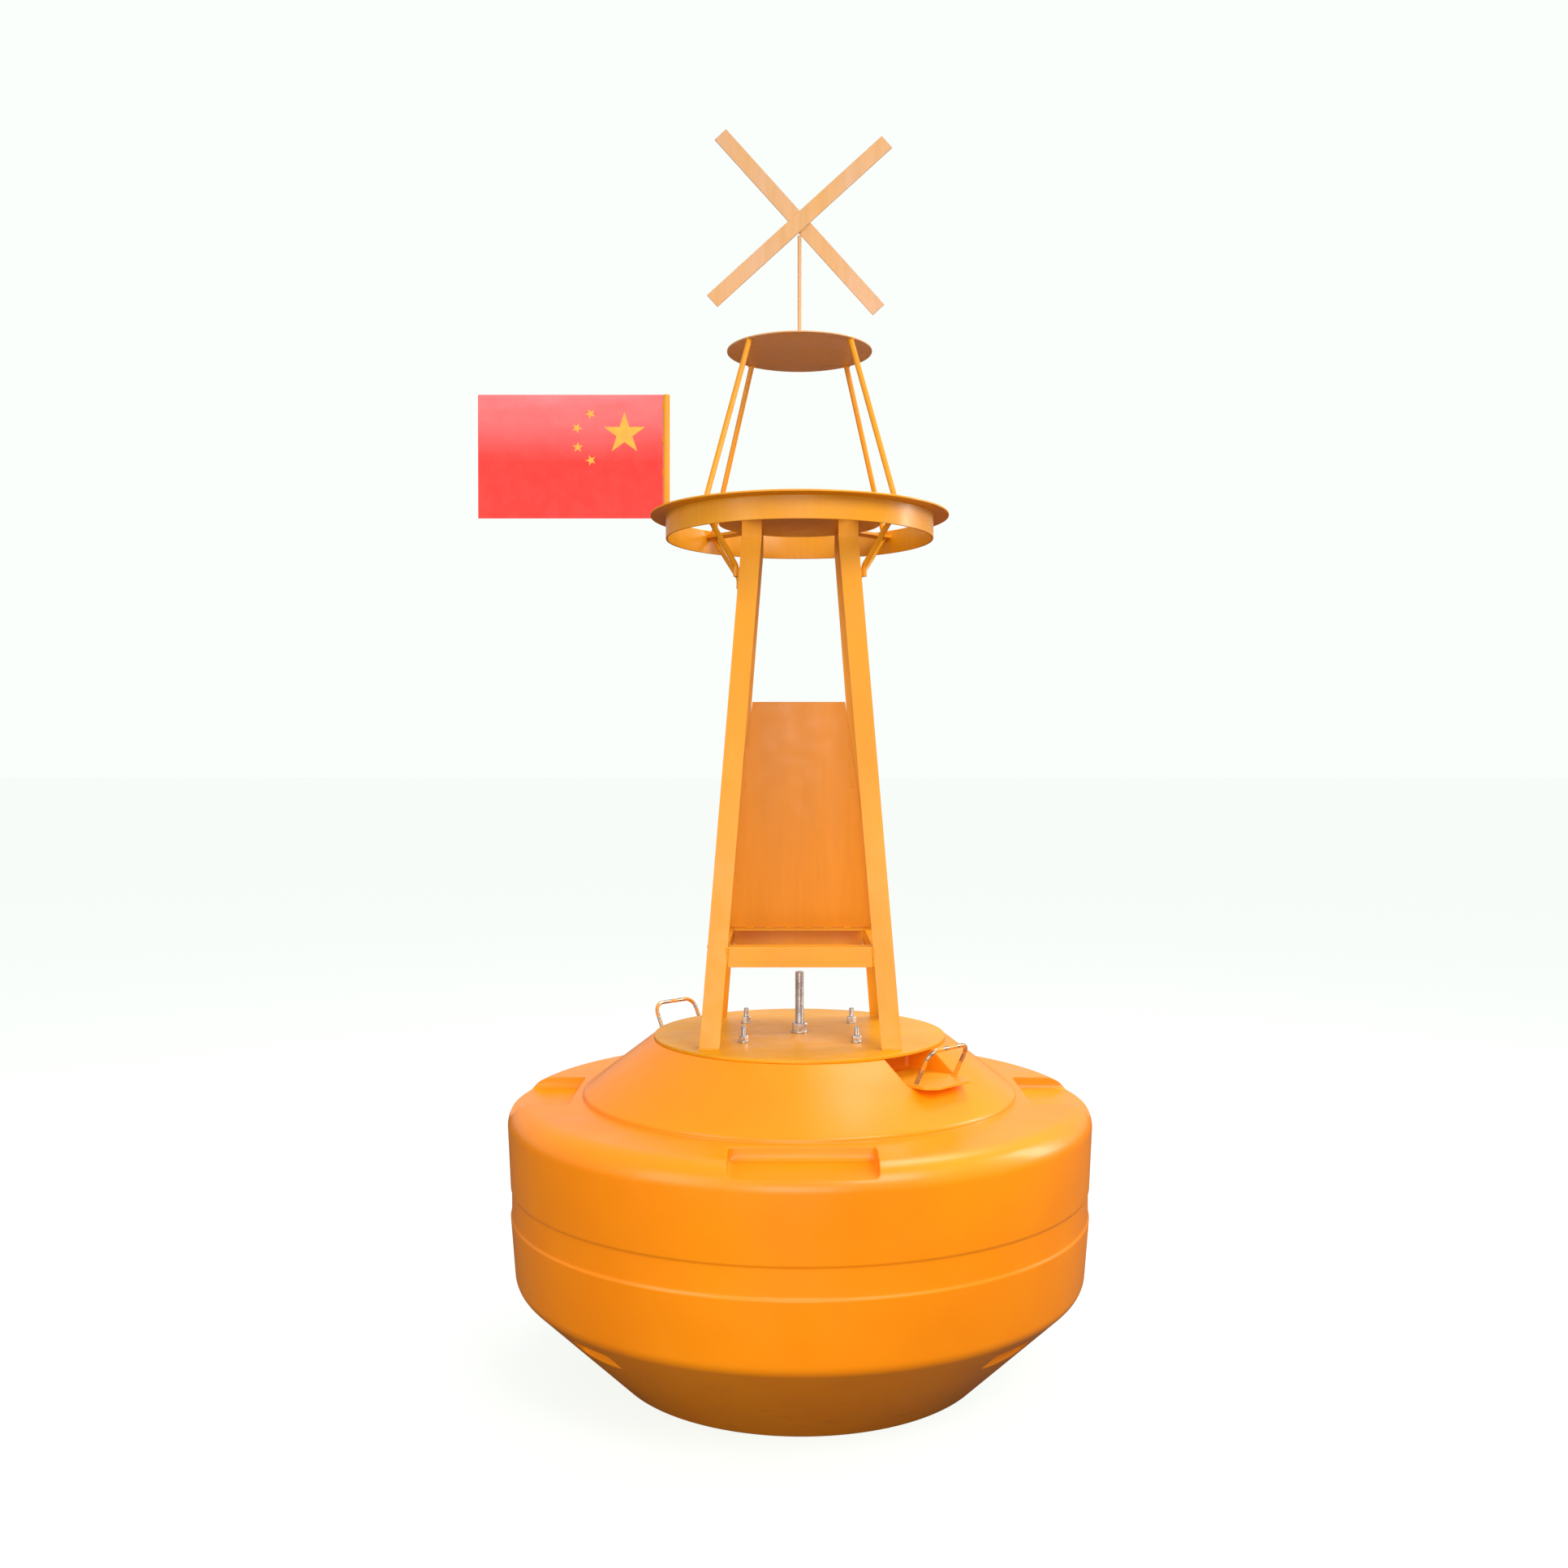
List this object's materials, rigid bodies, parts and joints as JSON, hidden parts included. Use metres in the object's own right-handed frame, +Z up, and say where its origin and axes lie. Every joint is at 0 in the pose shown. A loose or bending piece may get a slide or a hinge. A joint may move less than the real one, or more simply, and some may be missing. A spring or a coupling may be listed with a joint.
{
  "type": "navigation buoy",
  "caption": "Moulded float with a leaning angle-steel tower, rear day mark sheet, ringed lantern platform, steel flag, rod cage and crossed-blade topmark.",
  "frame": {"origin": "centre of the float's flat bottom face, on the float's axis", "axes": "+Z up along the tower and the topmark pole; the tower's open front faces -Y, its day mark is on the +Y side, and the flag points to -X"},
  "size_m": [1.6091, 1.5, 3.197],
  "materials": {
    "float_orange": "glossy moulded orange skin, faintly uneven",
    "tower_paint": "glossy amber paint on steel, rounded at the edges, with weld beads",
    "flag_paint": "glossy red paint on sheet steel",
    "zinc_steel": "bright bare steel, lightly scuffed"
  },
  "bodies": {
    "root": {"float": "float_orange", "base_plate": "tower_paint", "tie_rod": "zinc_steel", "leg_front_left": "tower_paint", "leg_front_right": "tower_paint", "leg_rear_right": "tower_paint", "leg_rear_left": "tower_paint", "frame_beam_front": "tower_paint", "frame_beam_right": "tower_paint", "frame_beam_rear": "tower_paint", "frame_beam_left": "tower_paint", "day_mark_panel": "tower_paint", "lantern_plate": "tower_paint", "platform_ring": "tower_paint", "platform_arm_front_left": "tower_paint", "platform_arm_front_right": "tower_paint", "platform_arm_rear_right": "tower_paint", "platform_arm_rear_left": "tower_paint", "platform_brace_front_left": "tower_paint", "platform_brace_front_right": "tower_paint", "platform_brace_rear_right": "tower_paint", "platform_brace_rear_left": "tower_paint", "cage_rod_front_left": "tower_paint", "cage_rod_front_right": "tower_paint", "cage_rod_rear_right": "tower_paint", "cage_rod_rear_left": "tower_paint", "top_disc": "tower_paint", "topmark_pole": "tower_paint", "cross_blade_front": "tower_paint", "cross_blade_rear": "tower_paint", "flag_post": "tower_paint", "flag_plate": "flag_paint", "lifting_tab_front_right": "tower_paint", "lifting_handle_front_right": "zinc_steel", "lifting_tab_rear_left": "tower_paint", "lifting_handle_rear_left": "zinc_steel"}
  },
  "joints": []
}
